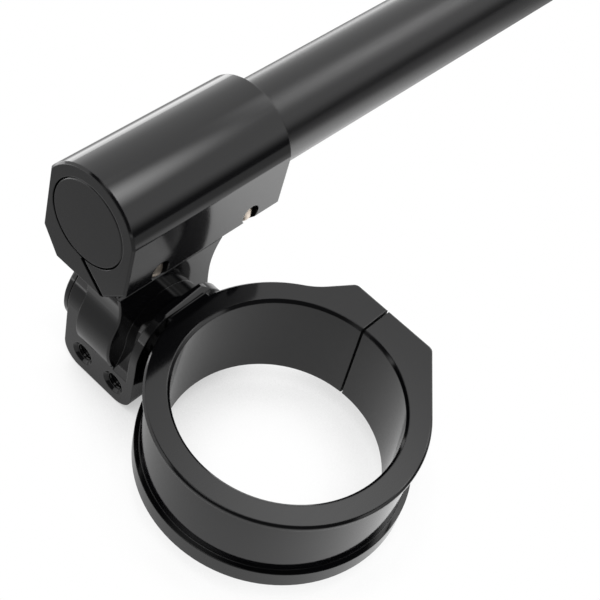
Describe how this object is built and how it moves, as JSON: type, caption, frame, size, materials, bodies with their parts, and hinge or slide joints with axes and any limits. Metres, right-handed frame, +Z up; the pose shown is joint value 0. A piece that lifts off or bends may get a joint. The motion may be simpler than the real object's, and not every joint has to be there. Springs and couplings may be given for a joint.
{
  "type": "clip-on handlebar",
  "caption": "Adjustable motorcycle clip-on handlebar: a split fork ring with a spigot, a bracket clamped on it, and a straight round bar.",
  "frame": {"origin": "centre of the fork ring's bore, halfway up the ring", "axes": "+Z up the fork leg, +X along the bar's plan direction towards its grip end, +Y from the fork leg to the bar"},
  "size_m": [0.2954, 0.0953, 0.0721],
  "materials": {
    "black_anodised": "black anodised, semi-gloss",
    "bar_black": "black anodised, satin",
    "black_steel": "black oxide",
    "stainless_steel": "bright stainless"
  },
  "bodies": {
    "root": {"fork_clamp": "black_anodised", "bar_clamp": "black_anodised", "handlebar_tube": "bar_black", "tube_plug": "bar_black", "spigot_cap": "black_anodised", "spigot_cap_screw": "black_steel", "fork_pinch_screw_upper": "black_steel", "fork_pinch_screw_lower": "black_steel", "hub_pinch_screw_front": "black_steel", "hub_pinch_screw_rear": "black_steel", "bar_pinch_screw_inner": "stainless_steel", "bar_pinch_screw_outer": "stainless_steel"}
  },
  "joints": []
}
